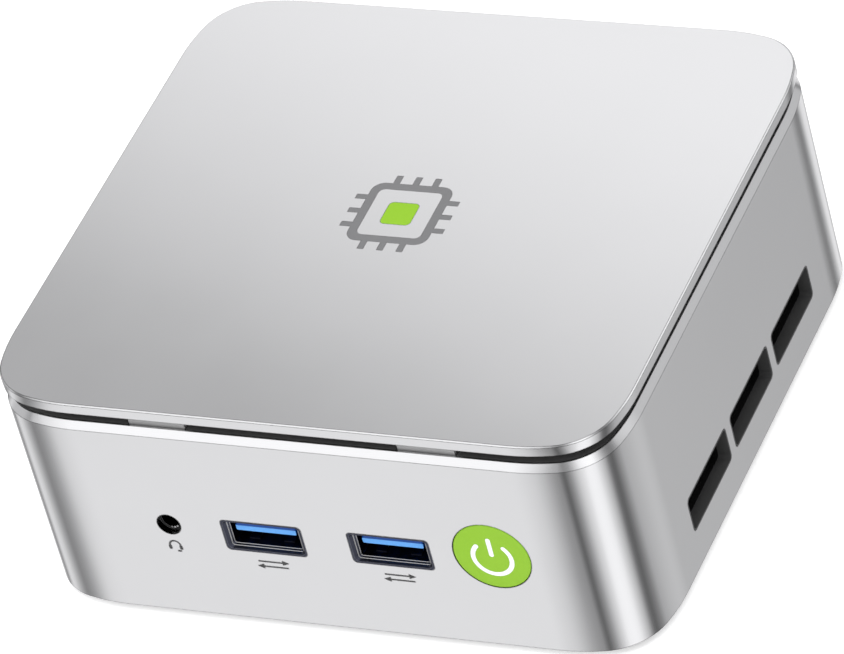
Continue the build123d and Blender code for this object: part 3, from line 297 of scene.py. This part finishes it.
def surface(name, dark, light, roughness, metallic=0.0, grain=0.25, grain_depth=0.02,
            patch=12.0, roughness_swing=0.06, stretch=(1, 1, 1), edge=None, edge_width=0.1,
            **extra):
    """A material with fine grain, a slow colour patchiness, uneven roughness and edges painted with shade,
    highlights and wear.

    grain, patch and edge_width are sizes in millimetres. dark and light are the ends of the
    colour variation, and edge is the colour painted along the edges, darker on some finishes and paler on
    others: painted shade and painted highlights along the edges, mixed with the wear that handling leaves.
    """
    material = bpy.data.materials.new(name)
    material.use_nodes = True
    tree = material.node_tree
    shader = tree.nodes["Principled BSDF"]
    where = node(tree, "ShaderNodeTexCoord")
    squeeze = node(tree, "ShaderNodeMapping")
    squeeze.inputs["Scale"].default_value = stretch
    link(tree, where.outputs["Object"], squeeze.inputs["Vector"])
    fine = node(tree, "ShaderNodeTexNoise", in_Scale=1 / (grain * MM), in_Detail=3.0, in_Roughness=0.6)
    broad = node(tree, "ShaderNodeTexNoise", in_Scale=1 / (patch * MM), in_Detail=4.0, in_Roughness=0.55)
    link(tree, squeeze.outputs[0], fine.inputs["Vector"])
    link(tree, where.outputs["Object"], broad.inputs["Vector"])
    mixed = node(tree, "ShaderNodeMath", operation="MULTIPLY_ADD")
    mixed.inputs[1].default_value = GRAIN_SHARE
    link(tree, fine.outputs["Fac"], mixed.inputs[0])
    patches = node(tree, "ShaderNodeMath", operation="MULTIPLY")
    patches.inputs[1].default_value = 1 - GRAIN_SHARE
    link(tree, broad.outputs["Fac"], patches.inputs[0])
    link(tree, patches.outputs[0], mixed.inputs[2])
    ramp = node(tree, "ShaderNodeValToRGB")
    ramp.color_ramp.elements[0].position = 0.30
    ramp.color_ramp.elements[1].position = 0.70
    ramp.color_ramp.elements[0].color = (*dark, 1)
    ramp.color_ramp.elements[1].color = (*light, 1)
    link(tree, mixed.outputs[0], ramp.inputs[0])
    colour = ramp.outputs[0]
    rounded = node(tree, "ShaderNodeBevel", samples=4)
    rounded.inputs["Radius"].default_value = edge_width * MM
    # Edge colour: painted shade and painted highlights along the edges, mixed with wear.
    if edge:
        facing = node(tree, "ShaderNodeNewGeometry")
        agree = node(tree, "ShaderNodeVectorMath", operation="DOT_PRODUCT")
        link(tree, rounded.outputs[0], agree.inputs[0])
        link(tree, facing.outputs["Normal"], agree.inputs[1])
        edge_shade_and_wear = rescale(tree, agree.outputs["Value"], *EDGE_SHADE_AND_WEAR_LEVELS)
        blend = node(tree, "ShaderNodeMix", data_type="RGBA")
        blend.inputs[MIX_SECOND].default_value = (*edge, 1)
        link(tree, edge_shade_and_wear.outputs[0], blend.inputs["Factor"])
        link(tree, colour, blend.inputs[MIX_FIRST])
        colour = blend.outputs[MIX_RESULT]
    link(tree, colour, shader.inputs["Base Color"])
    shine = rescale(tree, mixed.outputs[0], 0.3, 0.7)
    shine.inputs["To Min"].default_value = max(roughness - roughness_swing, 0.02)
    shine.inputs["To Max"].default_value = roughness + roughness_swing
    link(tree, shine.outputs[0], shader.inputs["Roughness"])
    bump = node(tree, "ShaderNodeBump")
    bump.inputs["Strength"].default_value = 1.0
    bump.inputs["Distance"].default_value = grain_depth * MM
    link(tree, fine.outputs["Fac"], bump.inputs["Height"])
    if not edge or metallic < 1:
        link(tree, rounded.outputs[0], bump.inputs["Normal"])
    link(tree, bump.outputs[0], shader.inputs["Normal"])
    shader.inputs["Metallic"].default_value = metallic
    for key, value in extra.items():
        shader.inputs[key.replace("_", " ")].default_value = value
    return material


def grey(level, blue=0.0):
    """A grey, with a little more blue where that is asked for."""
    return (level, level, level + blue)


def make_materials():
    """The finish of each material slot of the record."""
    return {
        # The silver's near-black edge colour is a painted dark line of shade along every edge.
        "silver_metal": surface("silver_metal", grey(0.775, 0.004), grey(0.815, 0.004), 0.15, 1.0,
                                grain=0.12, grain_depth=0.0010, patch=22.0, roughness_swing=0.02,
                                edge=grey(0.04), edge_width=0.2),
        "black_plastic": surface("black_plastic", grey(0.090), grey(0.120), 0.48, grain=0.25,
                                 grain_depth=0.02, edge=grey(0.09)),
        "vent_plastic": surface("vent_plastic", grey(0.050), grey(0.066), 0.46, grain=0.3,
                                grain_depth=0.02, edge=grey(0.035)),
        "grey_plastic": surface("grey_plastic", grey(0.34), grey(0.40), 0.45, grain=0.3,
                                grain_depth=0.015, edge=grey(0.5)),
        "emblem_grey": surface("emblem_grey", grey(0.20, 0.004), grey(0.24, 0.006), 0.42, 0.35,
                               grain=0.15, grain_depth=0.004, edge=grey(0.16)),
        "accent_green": surface("accent_green", (0.245, 0.49, 0.015), (0.28, 0.53, 0.024), 0.42,
                                grain=0.3, grain_depth=0.006, patch=9.0, edge=(0.14, 0.36, 0.01),
                                Specular_IOR_Level=0.3),
        "symbol_white": surface("symbol_white", grey(0.90), grey(0.97), 0.4, grain=0.3,
                                grain_depth=0.005),
        "mark_grey": surface("mark_grey", grey(0.035), grey(0.06), 0.55, grain=0.12,
                             grain_depth=0.004),
        "rubber": surface("rubber", grey(0.012), grey(0.03), 0.75, grain=0.35, grain_depth=0.03,
                          edge=grey(0.05)),
        "steel": surface("steel", grey(0.50), grey(0.62), 0.28, 1.0, grain=0.2, grain_depth=0.003,
                         stretch=(1, 12, 1)),
        "screw_black": surface("screw_black", grey(0.02), grey(0.05), 0.38, 0.6, grain=0.15,
                               grain_depth=0.006, edge=grey(0.16)),
        "brass": surface("brass", (0.66, 0.44, 0.16), (0.80, 0.58, 0.26), 0.28, 1.0, grain=0.2,
                         grain_depth=0.004),
        "copper": surface("copper", (0.70, 0.32, 0.17), (0.84, 0.45, 0.28), 0.26, 1.0, grain=0.2,
                          grain_depth=0.003),
        # The socket case's pale edge colour is a painted highlight along its folded edges.
        "usb_case": surface("usb_case", (0.052, 0.056, 0.078), (0.080, 0.084, 0.112), 0.33, 1.0,
                            grain=0.3, grain_depth=0.002, edge=(0.30, 0.30, 0.34), edge_width=0.07,
                            roughness_swing=0.08),
        "usb_blue": surface("usb_blue", (0.003, 0.085, 0.46), (0.007, 0.12, 0.58), 0.30, grain=0.3,
                            grain_depth=0.005),
        "gold": surface("gold", (0.80, 0.56, 0.20), (0.95, 0.72, 0.32), 0.22, 1.0, grain=0.2,
                        grain_depth=0.002),
        "socket_steel": surface("socket_steel", grey(0.52), grey(0.66), 0.24, 1.0, grain=0.25,
                                grain_depth=0.003, stretch=(10, 1, 1)),
        "board_black": surface("board_black", (0.006, 0.010, 0.008), (0.018, 0.026, 0.021), 0.32,
                               grain=0.5, grain_depth=0.02, patch=5.0),
        "board_green": surface("board_green", (0.004, 0.07, 0.028), (0.010, 0.13, 0.05), 0.30,
                               grain=0.5, grain_depth=0.02, patch=5.0),
        "chip_black": surface("chip_black", grey(0.014), grey(0.028), 0.50, grain=0.2,
                              grain_depth=0.01, edge=grey(0.06)),
        "fin_metal": surface("fin_metal", grey(0.55), grey(0.68), 0.30, 1.0, grain=0.3,
                             grain_depth=0.004, stretch=(1, 8, 1)),
        "mesh_black": surface("mesh_black", grey(0.003), grey(0.008), 0.8, grain=0.5,
                              grain_depth=0.05, Specular_IOR_Level=0.1),
        "wire_black": surface("wire_black", grey(0.012), grey(0.025), 0.45, grain=0.3,
                              grain_depth=0.01),
    }


def dress_cad(materials):
    """Give every CAD node the finish of its material slot, and clean shading on its curves."""
    rounding = clean_shading()
    for entry in frame["record"]["subparts"]:
        part = frame["nodes"][entry["node"]]
        for slot in part.material_slots:
            slot.material = materials[entry["material_slot"]]
        merge = part.modifiers.new("clean_shading", "NODES")
        merge.node_group = rounding
        weigh = part.modifiers.new("flat_faces_stay_flat", "WEIGHTED_NORMAL")
        weigh.keep_sharp = True


def clean_shading():
    """A modifier that joins the facets of curved faces and keeps only real edges sharp."""
    tree = bpy.data.node_groups.new("clean_shading", "GeometryNodeTree")
    tree.interface.new_socket("Geometry", in_out="INPUT", socket_type="NodeSocketGeometry")
    tree.interface.new_socket("Geometry", in_out="OUTPUT", socket_type="NodeSocketGeometry")
    start = node(tree, "NodeGroupInput")
    merge = node(tree, "GeometryNodeMergeByDistance")
    merge.inputs["Distance"].default_value = JOIN_DISTANCE
    forget = node(tree, "GeometryNodeRemoveAttribute")
    forget.inputs["Name"].default_value = "custom_normal"
    smooth = node(tree, "GeometryNodeSetShadeSmooth", domain="FACE")
    crease = node(tree, "GeometryNodeSetShadeSmooth", domain="EDGE")
    crease.inputs["Shade Smooth"].default_value = False
    bend = node(tree, "GeometryNodeInputMeshEdgeAngle")
    steep = node(tree, "FunctionNodeCompare", data_type="FLOAT", operation="GREATER_THAN")
    steep.inputs["B"].default_value = CAD_CREASE
    end = node(tree, "NodeGroupOutput")
    link(tree, start.outputs[0], merge.inputs["Geometry"])
    link(tree, merge.outputs[0], forget.inputs["Geometry"])
    link(tree, forget.outputs[0], smooth.inputs["Geometry"])
    link(tree, smooth.outputs[0], crease.inputs["Geometry"])
    link(tree, bend.outputs["Unsigned Angle"], steep.inputs["A"])
    link(tree, steep.outputs[0], crease.inputs["Selection"])
    link(tree, crease.outputs[0], end.inputs[0])
    return tree


# Mesh building ---------------------------------------------------------------------


def make_piece(name, mesh_data, material, body="base"):
    """Turn a bmesh into an object with one finish that rides on a CAD body."""
    mesh = bpy.data.meshes.new(name)
    bmesh.ops.recalc_face_normals(mesh_data, faces=mesh_data.faces)
    mesh_data.to_mesh(mesh)
    mesh_data.free()
    mesh.shade_smooth()
    mesh.set_sharp_from_angle(angle=DETAIL_CREASE)
    mesh.materials.append(material)
    piece = bpy.data.objects.new(name, mesh)
    bpy.context.scene.collection.objects.link(piece)
    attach(piece, body)


def add_block(mesh_data, low, high, rounding=0.1):
    """A box between two corners in millimetres, with rounded edges."""
    low, high = Vector(low) * MM, Vector(high) * MM
    size = high - low
    place = Matrix.Translation((low + high) / 2) @ Matrix.Diagonal((*size, 1))
    made = bmesh.ops.create_cube(mesh_data, size=1.0, matrix=place)
    edges = {edge for vert in made["verts"] for edge in vert.link_edges}
    offset = min(rounding * MM, min(size) * 0.3)
    bmesh.ops.bevel(mesh_data, geom=list(edges), offset=offset, segments=2, affect="EDGES", profile=0.6)


def join_rings(mesh_data, rings, closed=False):
    """Skin a row of rings of vertices, with a cap on each end unless the row closes on itself."""
    pairs = list(zip(rings, rings[1:]))
    if closed:
        pairs.append((rings[-1], rings[0]))
    else:
        mesh_data.faces.new(rings[0])
        mesh_data.faces.new(rings[-1])
    for near, far in pairs:
        for step in range(len(near)):
            ahead = (step + 1) % len(near)
            mesh_data.faces.new((near[step], near[ahead], far[ahead], far[step]))


def add_tube(mesh_data, points, radius, closed=False, sides=8):
    """A round wire along points in millimetres."""
    path = [Vector(point) * MM for point in points]
    count = len(path)
    rings = []
    side_way = None
    for number, point in enumerate(path):
        before = path[number - 1] if closed or number else path[0]
        after = path[(number + 1) % count] if closed or number < count - 1 else path[-1]
        ahead = (after - before).normalized()
        if side_way is None:
            side_way = ahead.orthogonal().normalized()
        side_way = (side_way - ahead * side_way.dot(ahead)).normalized()
        other_way = ahead.cross(side_way)
        ring = []
        for step in range(sides):
            turn = step * math.tau / sides
            reach = side_way * math.cos(turn) + other_way * math.sin(turn)
            ring.append(mesh_data.verts.new(point + reach * radius * MM))
        rings.append(ring)
    join_rings(mesh_data, rings, closed)


def add_strip(mesh_data, middle_line, across, width, thickness):
    """A bent leaf: a line of points in millimetres, given width and thickness."""
    points = [Vector(point) for point in middle_line]
    across = Vector(across).normalized() * width / 2
    rings = []
    for number, point in enumerate(points):
        before = points[max(number - 1, 0)]
        after = points[min(number + 1, len(points) - 1)]
        lift = (after - before).cross(across).normalized() * thickness / 2
        corners = (
            point - across - lift,
            point + across - lift,
            point + across + lift,
            point - across + lift,
        )
        rings.append([mesh_data.verts.new(corner * MM) for corner in corners])
    join_rings(mesh_data, rings)


def add_turned(mesh_data, centre, profile, axis="Z", steps=40):
    """A turned shape: pairs of radius and height in millimetres, spun about an axis."""
    rings = []
    for radius, height in profile:
        ring = []
        for step in range(steps):
            turn = step * math.tau / steps
            a, b = radius * math.cos(turn), radius * math.sin(turn)
            offset = Vector((a, b, height)) if axis == "Z" else Vector((a, height, b))
            ring.append(mesh_data.verts.new((Vector(centre) + offset) * MM))
        rings.append(ring)
    join_rings(mesh_data, rings)


def rounded_loop(width, height, radius, steps=5):
    """Points round a rounded rectangle, centred on nothing."""
    points = []
    for quarter, (sx, sy) in enumerate(((1, 1), (-1, 1), (-1, -1), (1, -1))):
        for step in range(steps + 1):
            turn = math.radians(90 * quarter + 90 * step / steps)
            points.append((
                sx * (width / 2 - radius) + radius * math.cos(turn),
                sy * (height / 2 - radius) + radius * math.sin(turn),
            ))
    return points


class Socket:
    """A mount of the record as a place to measure from: across, up and depth, in millimetres."""

    def __init__(self, name):
        mount = next(m for m in frame["record"]["mounts"] if m["name"] == name)
        self.place = Vector(mount["pos_m"]) / MM
        self.inward = -Vector(mount["axis"])

    def at(self, across, up, depth):
        return self.place + Vector((across, 0, up)) + self.inward * depth


# Detail pieces, all in millimetres ---------------------------------------------------

USB_SOCKETS = ("usb_front_left", "usb_front_right", "usb_rear_lower", "usb_rear_upper")
USB_SPACE = (12.5, 5.12)
# The folds round a socket's mouth: growth over the space, depth and radius
USB_FOLDS = ((0.14, 1.1, 0.12), (0.70, 0.68, 0.13))
# A case spring as depth and lift from the wall, and the places of the two on each wall
USB_SPRING = ((2.4, 0.08), (3.4, 0.15), (5.2, 0.42), (6.0, 0.50), (6.8, 0.38), (7.6, 0.12))
USB_SPRING_PLACES = (-3.2, 3.2)
# The slope on a tongue's upper side: its length and the height of the tip that it leaves
USB_NOSE = 0.8
USB_TIP_HEIGHT = 1.04
# Tongues of stacked sockets are further apart than this
USB_LEVELS_APART = 4

# A jack finger and the ring round the mouth, as distance from the axis and place in Y
JACK_FINGER = ((1.80, -0.1), (1.62, -0.5), (1.48, -0.9), (1.50, -1.15))
JACK_FINGER_DEGREES = (-98, -76, -54)
JACK_RING = ((2.14, -0.7), (2.14, -0.05), (1.86, -0.05), (1.95, -0.7))

VIDEO_SOCKETS = ("video_socket_left", "video_socket_right")
VIDEO_CONTACTS = 10
VIDEO_PITCH = 1.0
VIDEO_STAGGER = 0.25
# Springs of the network case and the DC inlet, as depth and lift
NETWORK_SPRING = ((0.5, 0.2), (2.0, 0.10), (4.5, 0.10), (6.0, 0.2))
INLET_SPRING = ((2.2, 2.6), (3.6, 2.2), (5.4, 2.0), (7.0, 2.3), (9.0, 2.6))

VENT_COLLAR = (18.3, 6.45)
# How far the black rim reaches from the dust mesh along each collar; that deep end of the collar is blacked
# out as painted shade
VENT_RIM_DEPTH = 0.98
WEAVE_PITCH = 0.95
WEAVE_RISE = 0.1
WEAVE_WIRE = 0.09

# Free zones of the motherboard by two corners each
BOARD_ZONES = (
    ((-46, 27.5), (-20, 37)),
    ((-16, 27.5), (34, 37)),
    ((-34, -5), (34, 1.5)),
    ((-30, -30), (30, -10)),
)
# Draws below the first level place a chip, those below the second a smaller component
CHIP_LEVEL = 0.12
COMPONENT_LEVEL = 0.72
COMPONENT_SIZES = ((1.0, 0.55), (1.6, 0.85))
CAPACITOR = ((1.9, 0), (2.0, 0.5), (1.8, 0.8), (2.0, 1.1), (2.0, 4.2), (1.8, 4.5), (0.3, 4.5))

HUB_LABEL = ((0.3, 0.10), (5.6, 0.10), (5.9, 0.06), (6.0, 0.0), (0.3, 0.0))


def make_usb_details(materials):
    """The bright folded edges of the socket cases and the springs pressed out of them."""
    edges = bmesh.new()
    springs = bmesh.new()
    width, height = USB_SPACE
    for name in USB_SOCKETS:
        socket = Socket(name)
        for growth, depth, radius in USB_FOLDS:
            loop = rounded_loop(width + growth, height + growth * 0.65, 0.4)
            add_tube(edges, [socket.at(x, z, depth) for x, z in loop], radius, closed=True)
        for side in (-1, 1):
            wall = side * height / 2
            for across in USB_SPRING_PLACES:
                line = [socket.at(across, wall - side * lift, depth) for depth, lift in USB_SPRING]
                add_strip(springs, line, (1, 0, 0), 1.9, 0.16)
    make_piece("usb_case_edges", edges, materials["steel"])
    make_piece("usb_case_springs", springs, materials["usb_case"])


def make_usb_tongues(materials):
    """The socket tongues with a sloping upper nose, and a paler blue on the faces that point out of the
    socket, painted light where the lamps fall on their fronts.
    """
    part = frame["nodes"]["usb_tongues"]
    # A paler blue for the faces that point along the socket: painted light where the lamps fall on the
    # tongue's front.
    painted_light_blue = surface("usb_blue_painted_light", (0.08, 0.36, 0.86), (0.14, 0.44, 0.96), 0.32, grain=0.3,
                  grain_depth=0.005)
    shape = bmesh.new()
    shape.from_mesh(part.data)
    bmesh.ops.remove_doubles(shape, verts=shape.verts, dist=JOIN_DISTANCE)
    bmesh.ops.dissolve_limit(shape, angle_limit=math.radians(1), verts=shape.verts, edges=shape.edges)
    low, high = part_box("usb_tongues")
    for cut_y in (low.y + USB_NOSE * MM, high.y - USB_NOSE * MM):
        everything = [*shape.verts, *shape.edges, *shape.faces]
        bmesh.ops.bisect_plane(shape, geom=everything, plane_co=(0, cut_y, 0), plane_no=(0, 1, 0))
    tips = [vert for vert in shape.verts if min(vert.co.y - low.y, high.y - vert.co.y) < 0.1 * MM]
    bottoms = []
    for height in sorted(vert.co.z for vert in tips):
        if not bottoms or height - bottoms[-1] > USB_LEVELS_APART * MM:
            bottoms.append(height)
    for vert in tips:
        bottom = max(level for level in bottoms if level <= vert.co.z)
        vert.co.z = min(vert.co.z, bottom + USB_TIP_HEIGHT * MM)
    shape.normal_update()
    # Faces that point along the socket get the paler blue of painted light.
    for face in shape.faces:
        face.material_index = 1 if abs(face.normal.y) > 0.9 else 0
    mesh = bpy.data.meshes.new("usb_tongues_moulded")
    shape.to_mesh(mesh)
    shape.free()
    mesh.materials.append(materials["usb_blue"])
    mesh.materials.append(painted_light_blue)
    piece = bpy.data.objects.new("usb_tongues_moulded", mesh)
    bpy.context.scene.collection.objects.link(piece)
    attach(piece, "base")
    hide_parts("usb_tongues")


def make_jack_details(materials):
    """The contact fingers inside the audio jack and the ring pressed round its mouth."""
    low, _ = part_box("audio_jack")
    jack = Socket("audio_bore").place
    mouth = low.y / MM
    fingers = bmesh.new()
    for degrees in JACK_FINGER_DEGREES:
        turn = math.radians(degrees)
        path = []
        for reach, depth in JACK_FINGER:
            path.append((jack.x + reach * math.cos(turn), mouth + depth, jack.z + reach * math.sin(turn)))
        add_tube(fingers, path, 0.2)
    make_piece("jack_contact_fingers", fingers, materials["steel"])
    lip = bmesh.new()
    add_turned(lip, (jack.x, mouth, jack.z), JACK_RING, "Y")
    make_piece("jack_mouth_ring", lip, materials["chip_black"])


def make_video_contacts(materials):
    """Two staggered rows of contacts in each video socket."""
    contacts = bmesh.new()
    for name in VIDEO_SOCKETS:
        socket = Socket(name)
        for side in (-1, 1):
            for number in range(VIDEO_CONTACTS):
                place = number - (VIDEO_CONTACTS - 1) / 2
                across = place * VIDEO_PITCH + side * VIDEO_STAGGER
                line = [socket.at(across, side * 0.53, depth) for depth in (1.9, 3.0, 6.0, 8.6)]
                add_strip(contacts, line, (1, 0, 0), 0.36, 0.07)
    make_piece("video_socket_contacts", contacts, materials["gold"])


def make_network_details(materials):
    """The two lamps on the network socket's face and the springs on its case."""
    low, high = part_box("lan_socket")
    back = high.y / MM
    lamp_level = high.z / MM - 1.7
    lamps = bmesh.new()
    for side in (-1, 1):
        middle = Socket("network_socket").place.x + side * 5.6
        near = (middle - 1.25, back - 0.58, lamp_level - 0.75)
        far = (middle + 1.25, back - 0.08, lamp_level + 0.75)
        add_block(lamps, near, far, 0.25)
    make_piece("network_lamps", lamps, materials["symbol_white"])

    folds = bmesh.new()
    for side, wall in ((-1, low.x / MM), (1, high.x / MM)):
        for up in (3.5, 9.0):
            line = [(wall - side * lift, back - depth, low.z / MM + up) for depth, lift in NETWORK_SPRING]
            add_strip(folds, line, (0, 0, 1), 1.6, 0.14)
    make_piece("network_case_springs", folds, materials["socket_steel"])


def make_inlet_spring(materials):
    """The spring leaf in the DC inlet that presses on the plug."""
    inlet = Socket("dc_inlet")
    leaf = bmesh.new()
    line = [inlet.at(0, -drop, depth) for depth, drop in INLET_SPRING]
    add_strip(leaf, line, (1, 0, 0), 1.6, 0.15)
    make_piece("dc_inlet_spring", leaf, materials["steel"])


def vents():
    """Each vent's side (-1 left, 1 right), the middle of its opening in Y and Z, and its size."""
    for opening in frame["record"]["physics"]["openings"]:
        if opening["name"].startswith("vent_"):
            (x0, y0, z0), (x1, y1, z1) = opening["box_m"]
            side = 1 if x0 + x1 > 0 else -1
            middle = ((y0 + y1) / 2 / MM, (z0 + z1) / MM / 2)
            size = ((y1 - y0) / MM, (z1 - z0) / MM)
            yield side, middle, size


def make_filter_rims_and_painted_shade(materials):
    """The black rim that binds each dust mesh, lining the inner end of every vent collar, where it also
    blacks out the collar's deep end as painted shade.
    """
    rims = bmesh.new()
    _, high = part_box("vent_meshes")
    back, front = high.x / MM + 0.02, high.x / MM + VENT_RIM_DEPTH
    for side, middle, _ in vents():
        rings = []
        for depth, shrink in ((back, 0.04), (front, 0.04), (front, 0.24), (back, 0.24)):
            loop = rounded_loop(VENT_COLLAR[0] - shrink, VENT_COLLAR[1] - shrink, 0.7)
            rings.append([rims.verts.new(Vector((side * depth, middle[0] + y, middle[1] + z)) * MM)
                          for y, z in loop])
        join_rings(rims, rings, closed=True)
    make_piece("vent_filter_rims_and_painted_shade", rims, materials["mesh_black"])


def make_vent_weave(materials):
    """The woven dust mesh behind each side vent: wires that pass over and under each other."""
    weave = bmesh.new()
    low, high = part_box("vent_meshes")
    for side, middle, size in vents():
        face = (high.x if side > 0 else low.x) / MM + side * 0.2
        half_width = size[0] / 2 + 0.4
        half_height = size[1] / 2 + 0.5
        last_row = int(half_height / WEAVE_PITCH)
        last_column = int(half_width / WEAVE_PITCH)
        rows = range(-last_row, last_row + 1)
        columns = range(-last_column, last_column + 1)

        def crossing(row, column, rise):
            over = rise if (row + column) % 2 else -rise
            return (face + over, middle[0] + column * WEAVE_PITCH, middle[1] + row * WEAVE_PITCH)

        for row in rows:
            path = [crossing(row, column, WEAVE_RISE) for column in columns]
            add_tube(weave, path, WEAVE_WIRE, sides=5)
        for column in columns:
            path = [crossing(row, column, -WEAVE_RISE) for row in rows]
            add_tube(weave, path, WEAVE_WIRE, sides=5)
    make_piece("vent_mesh_wires", weave, materials["mesh_black"])


def add_component(bodies, ends, x, y, top, size):
    """A small two-ended component lying on the board: its body and its metal ends."""
    length, width = size
    near_y, far_y = y - width / 2, y + width / 2
    add_block(bodies, (x - length * 0.3, near_y, top), (x + length * 0.3, far_y, top + 0.5), 0.05)
    for side in (-1, 1):
        left, right = sorted((x + side * length * 0.3, x + side * length * 0.5))
        add_block(ends, (left, near_y, top), (right, far_y, top + 0.52), 0.05)


def make_board_parts(materials):
    """Small components on the free zones of the motherboard, laid out in rows."""
    _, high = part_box("motherboard")
    top = high.z / MM
    chance = random.Random(7)
    chips, bodies, ends, cans = bmesh.new(), bmesh.new(), bmesh.new(), bmesh.new()
    for (x0, y0), (x1, y1) in BOARD_ZONES:
        y = y0 + 1.2
        while y < y1 - 1:
            x = x0 + 1.5
            while x < x1 - 2.5:
                kind = chance.random()
                if kind < CHIP_LEVEL:
                    add_block(chips, (x - 1.4, y - 1.0, top), (x + 1.4, y + 1.0, top + 0.9), 0.12)
                    x += 4.6
                elif kind < COMPONENT_LEVEL:
                    add_component(bodies, ends, x, y, top, chance.choice(COMPONENT_SIZES))
                    x += 2.5
                else:
                    x += 1.8
            y += 2.6
    for x in (-12.5, 37.5):
        for y in (29.5, 35.5):
            add_turned(cans, (x, y, top), CAPACITOR)
    make_piece("board_small_chips", chips, materials["chip_black"])
    make_piece("board_component_bodies", bodies, materials["brass"])
    make_piece("board_component_ends", ends, materials["steel"])
    make_piece("board_capacitors", cans, materials["fin_metal"])


def make_gold_fingers(materials):
    """The contact strips on the memory and drive boards."""
    fingers = bmesh.new()
    low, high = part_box("memory_board")
    face, edge = high.z / MM + 0.02, low.y / MM
    for number in range(-32, 33):
        line = [(number * 1.0, edge + start, face) for start in (2.5, 3.3, 4.3)]
        add_strip(fingers, line, (1, 0, 0), 0.55, 0.04)
    low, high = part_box("drive_board")
    face, edge = high.z / MM + 0.02, high.x / MM
    middle = (low.y + high.y) / MM / 2
    for number in range(-16, 17):
        line = [(edge - start, middle + number * 0.6, face) for start in (4.2, 4.8, 5.6)]
        add_strip(fingers, line, (0, 1, 0), 0.32, 0.04)
    make_piece("board_gold_fingers", fingers, materials["gold"])


def make_fan_details(materials):
    """A plain round disc on each fan hub."""
    for node_name, body, name, centre_y, outward in (
        ("top_fan_rotor", "top_fan", "top_fan_hub_label", -4.0, 1),
        ("blower_rotor", "blower", "blower_hub_label", -5.0, -1),
    ):
        low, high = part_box(node_name)
        face = (high.z if outward > 0 else low.z) / MM
        label = bmesh.new()
        add_turned(label, (0, centre_y, face), [(radius, height * outward) for radius, height in HUB_LABEL])
        make_piece(name, label, materials["grey_plastic"], body)


make_camera()
make_world()
make_lid_panel()
make_lights()
make_floor()
materials = make_materials()
dress_cad(materials)
make_usb_details(materials)
make_usb_tongues(materials)
make_jack_details(materials)
make_video_contacts(materials)
make_network_details(materials)
make_inlet_spring(materials)
make_filter_rims_and_painted_shade(materials)
make_vent_weave(materials)
make_board_parts(materials)
make_gold_fingers(materials)
make_fan_details(materials)
bpy.context.scene.view_settings.view_transform = "Standard"
